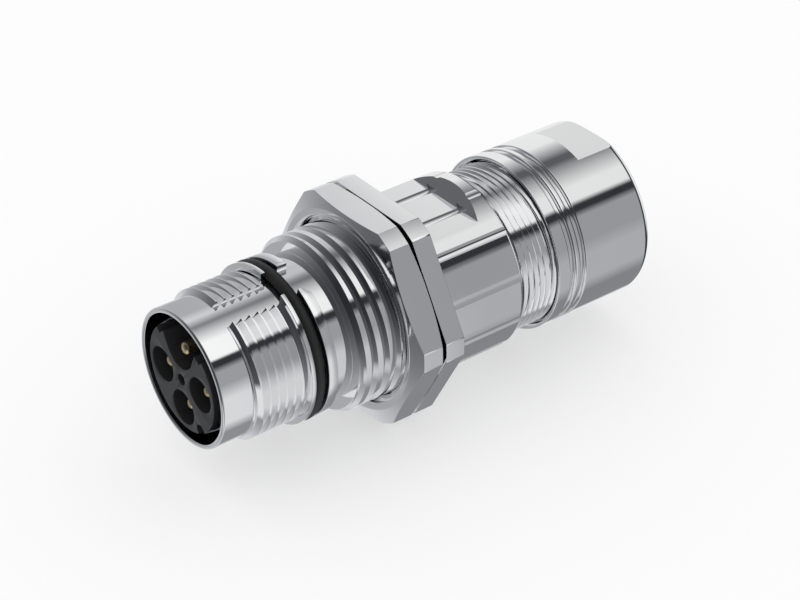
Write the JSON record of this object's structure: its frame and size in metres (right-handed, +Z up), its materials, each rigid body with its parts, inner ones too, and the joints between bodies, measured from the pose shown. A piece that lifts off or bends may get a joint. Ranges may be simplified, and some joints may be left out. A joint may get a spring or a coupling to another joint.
{
  "type": "circular cable connector",
  "caption": "Round metal cable coupler with quick-lock coupling thread, hexagon flange and lock nut for a panel, and a rear gland nut for the cable.",
  "frame": {"origin": "centre of the mating face, on the connector's axis", "axes": "+Y along the axis from the mating face to the cable end, +Z up through the middle of a hexagon flat, +X to the side"},
  "size_m": [0.0264, 0.055, 0.024],
  "materials": {
    "plated_metal": "bright nickel plate over turned brass, smooth",
    "plated_metal_nut": "bright nickel plate over turned brass, smooth, on the two nuts",
    "black_rubber": "matt black moulded rubber",
    "insulator": "dark grey moulded plastic, satin",
    "gold_contact": "gold plated turned pin",
    "spring_metal": "plain bright metal",
    "cage_plastic": "dark grey moulded plastic",
    "white_plastic": "natural white plastic"
  },
  "bodies": {
    "coupler": {"coupler_shell": "plated_metal", "front_o_ring": "black_rubber", "contact_insert": "insulator", "insert_o_ring": "black_rubber", "insert_back": "insulator", "contact_pe": "gold_contact", "contact_1": "gold_contact", "contact_2": "gold_contact", "contact_3": "gold_contact", "earth_tag": "spring_metal", "clamp_sleeve": "spring_metal", "rear_housing": "plated_metal", "housing_o_ring": "black_rubber"},
    "seal_carrier": {"panel_seal": "black_rubber"},
    "lock_nut": {"lock_nut": "plated_metal_nut"},
    "gland_insert": {"slip_washer": "white_plastic", "clamp_cage": "cage_plastic", "cable_seal": "black_rubber", "shield_ring": "spring_metal"},
    "gland_nut": {"gland_nut": "plated_metal_nut"}
  },
  "joints": [
    {"name": "lock_nut_travel", "type": "slide", "parent": "coupler", "child": "seal_carrier", "axis": [0, -1, 0], "range_m": [0, 0.006]},
    {"name": "lock_nut_turn", "type": "hinge", "parent": "seal_carrier", "child": "lock_nut", "pos_m": [0, 0.0221, 0], "axis": [0, -1, 0], "range_deg": [0, 1440]},
    {"name": "gland_travel", "type": "slide", "parent": "coupler", "child": "gland_insert", "axis": [0, -1, 0], "range_m": [-0.0027, 0.0036]},
    {"name": "gland_nut_turn", "type": "hinge", "parent": "gland_insert", "child": "gland_nut", "pos_m": [0, 0.048, 0], "axis": [0, -1, 0], "range_deg": [-1296, 1728]}
  ],
  "couplings": [
    {"joint": "lock_nut_travel", "follows": "lock_nut_turn", "m_per_rad": 0.00023873},
    {"joint": "gland_travel", "follows": "gland_nut_turn", "m_per_rad": 0.00011937}
  ]
}
